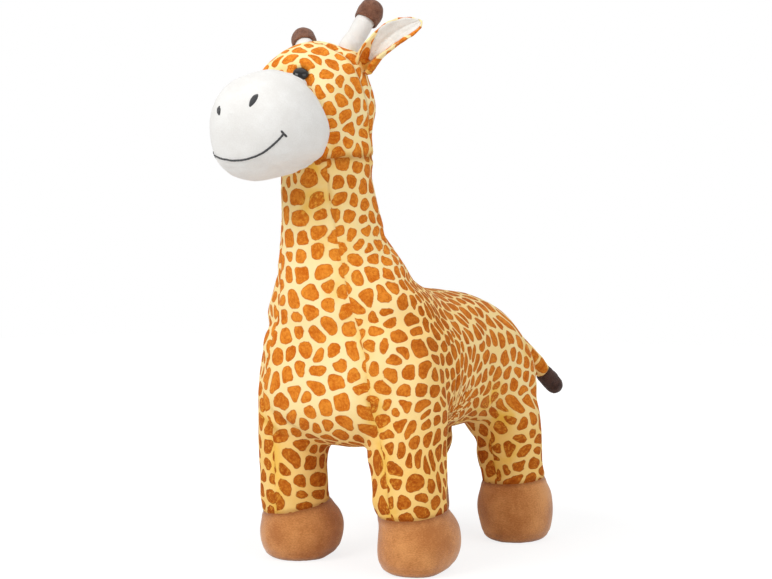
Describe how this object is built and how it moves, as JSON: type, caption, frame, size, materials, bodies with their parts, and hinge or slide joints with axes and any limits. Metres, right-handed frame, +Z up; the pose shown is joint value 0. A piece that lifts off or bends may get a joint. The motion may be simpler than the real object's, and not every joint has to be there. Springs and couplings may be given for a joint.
{
  "type": "plush giraffe toy",
  "caption": "Standing stuffed giraffe toy with a tall neck, spotted velour cover, white muzzle, capped horns, soft ears that flop and a short tail that lifts.",
  "frame": {"origin": "on the ground, under the middle of the object's box", "axes": "+Z up, -Y the way the giraffe faces, +X the giraffe's left"},
  "size_m": [0.2016, 0.3847, 0.4537],
  "materials": {
    "printed_plush": "short pile velour with a printed giraffe pattern",
    "white_plush": "short pile velour, off-white",
    "hoof_plush": "short pile velour, tan brown",
    "horn_tip_plush": "short pile velour, greyish brown",
    "tail_tip_plush": "short pile velour, dark brown",
    "eye_plastic": "glossy black",
    "washer_plastic": "natural, hidden in the filling"
  },
  "bodies": {
    "stuffed_body": {"torso": "printed_plush", "neck": "printed_plush", "head": "printed_plush", "front_leg_left": "printed_plush", "front_leg_right": "printed_plush", "rear_leg_left": "printed_plush", "rear_leg_right": "printed_plush", "muzzle": "white_plush", "horn_stem_left": "white_plush", "horn_stem_right": "white_plush", "hoof_front_left": "hoof_plush", "hoof_front_right": "hoof_plush", "hoof_rear_left": "hoof_plush", "hoof_rear_right": "hoof_plush", "hoof_sole_front_left": "hoof_plush", "hoof_sole_front_right": "hoof_plush", "hoof_sole_rear_left": "hoof_plush", "hoof_sole_rear_right": "hoof_plush", "horn_tip_left": "horn_tip_plush", "horn_tip_right": "horn_tip_plush", "eye_left": "eye_plastic", "eye_right": "eye_plastic", "eye_washer_left": "washer_plastic", "eye_washer_right": "washer_plastic"},
    "ear_left": {"ear_outer_left": "printed_plush", "ear_lining_left": "white_plush"},
    "ear_right": {"ear_outer_right": "printed_plush", "ear_lining_right": "white_plush"},
    "tail": {"tail": "printed_plush", "tail_tip": "tail_tip_plush"}
  },
  "joints": [
    {"name": "ear_left_flop", "type": "hinge", "parent": "stuffed_body", "child": "ear_left", "pos_m": [0.03447, -0.07605, 0.39349], "axis": [0.5936, 0.3015, -0.7462], "range_deg": [-20, 35], "stiffness_Nm_per_rad": 0.02},
    {"name": "ear_right_flop", "type": "hinge", "parent": "stuffed_body", "child": "ear_right", "pos_m": [-0.05108, -0.06924, 0.37663], "axis": [-0.4002, -0.3433, 0.8497], "range_deg": [-20, 35], "stiffness_Nm_per_rad": 0.02},
    {"name": "tail_lift", "type": "hinge", "parent": "stuffed_body", "child": "tail", "pos_m": [0.03097, 0.1209, 0.1952], "axis": [0.8746, -0.4848, 0], "range_deg": [0, 60], "stiffness_Nm_per_rad": 0.03}
  ]
}
